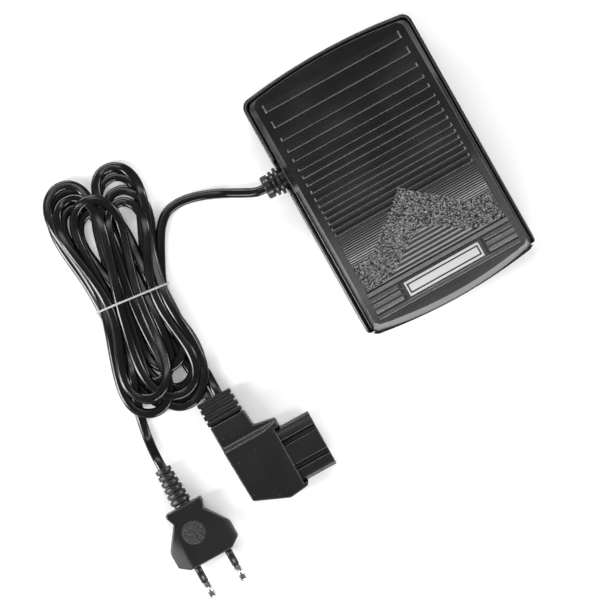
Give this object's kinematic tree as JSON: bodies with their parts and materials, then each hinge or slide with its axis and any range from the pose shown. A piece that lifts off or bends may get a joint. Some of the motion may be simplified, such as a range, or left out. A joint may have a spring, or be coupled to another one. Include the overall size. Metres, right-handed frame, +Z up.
{
  "type": "sewing machine foot control",
  "caption": "Hinged black foot pedal for a sewing machine, with ribbed tread, tied flat leads, machine connector and mains plug.",
  "frame": {"origin": "on the floor, under the middle of the pedal's plan outline", "axes": "+Y from the hinged heel to the toe, +X to the side where the lead comes out, +Z up"},
  "size_m": [0.2481, 0.237, 0.0441],
  "materials": {
    "black_plastic": "fine satin moulding texture",
    "black_lead": "smooth PVC sheath",
    "black_rubber": "matt",
    "silver_plate": "brushed, with a black inner line",
    "steel": "zinc plated",
    "nickel": "bright nickel plate",
    "brass": "plain",
    "aluminium": "extruded",
    "board": "phenolic paper board",
    "phenolic": "moulded",
    "capacitor_yellow": "moulded case",
    "capacitor_blue": "dipped",
    "ferrite": "sintered",
    "copper": "enamelled wire",
    "ceramic": "ceramic body",
    "wire_brown": "PVC sleeve",
    "wire_blue": "PVC sleeve",
    "tie_white": "plastic-covered wire tie"
  },
  "bodies": {
    "tray": {"base_tray": "black_plastic", "hinge_rod": "steel", "rubber_foot_1": "black_rubber", "rubber_foot_2": "black_rubber", "rubber_foot_3": "black_rubber", "rubber_foot_4": "black_rubber", "return_spring_1": "steel", "return_spring_2": "steel", "circuit_board": "board", "board_screw_1": "steel", "board_screw_2": "steel", "board_screw_3": "steel", "slide_potentiometer": "phenolic", "heat_sink": "aluminium", "triac": "phenolic", "suppression_capacitor": "capacitor_yellow", "choke_core": "ferrite", "choke_winding": "copper", "power_resistor": "ceramic", "timing_capacitor": "capacitor_blue", "lead_clamp": "black_plastic", "clamp_screw_1": "steel", "clamp_screw_2": "steel", "inner_lead_end": "black_lead", "lead_wire_brown": "wire_brown", "lead_wire_blue": "wire_blue", "pedal_strain_relief": "black_rubber", "lead_pedal_run": "black_lead", "lead_hank": "black_lead", "hank_tie": "tie_white", "lead_connector_run_1": "black_lead", "lead_connector_run_2": "black_lead", "lead_plug_run": "black_lead", "connector_body": "black_plastic", "connector_strain_relief": "black_rubber", "socket_insert": "black_plastic", "contact_sleeve_1": "brass", "contact_sleeve_2": "brass", "contact_sleeve_3": "brass", "plug_body": "black_plastic", "plug_strain_relief": "black_rubber", "plug_pin_1": "nickel", "plug_pin_2": "nickel", "pin_sleeve_1": "black_plastic", "pin_sleeve_2": "black_plastic"},
    "tread": {"tread_cover": "black_plastic", "badge_plate": "silver_plate"},
    "wiper": {"wiper_slider": "phenolic"}
  },
  "joints": [
    {"name": "tread_hinge", "type": "hinge", "parent": "tray", "child": "tread", "pos_m": [0, -0.062, 0.01], "axis": [-1, 0, 0], "range_deg": [0, 6], "stiffness_Nm_per_rad": 10.5, "springref_deg": -2.75, "deforming": ["return_spring_1", "return_spring_2"]},
    {"name": "wiper_slide", "type": "slide", "parent": "tray", "child": "wiper", "axis": [0, 1, 0], "range_m": [0, 0.0082]}
  ],
  "couplings": [
    {"joint": "wiper_slide", "follows": "tread_hinge", "m_per_rad": 0.076394}
  ]
}
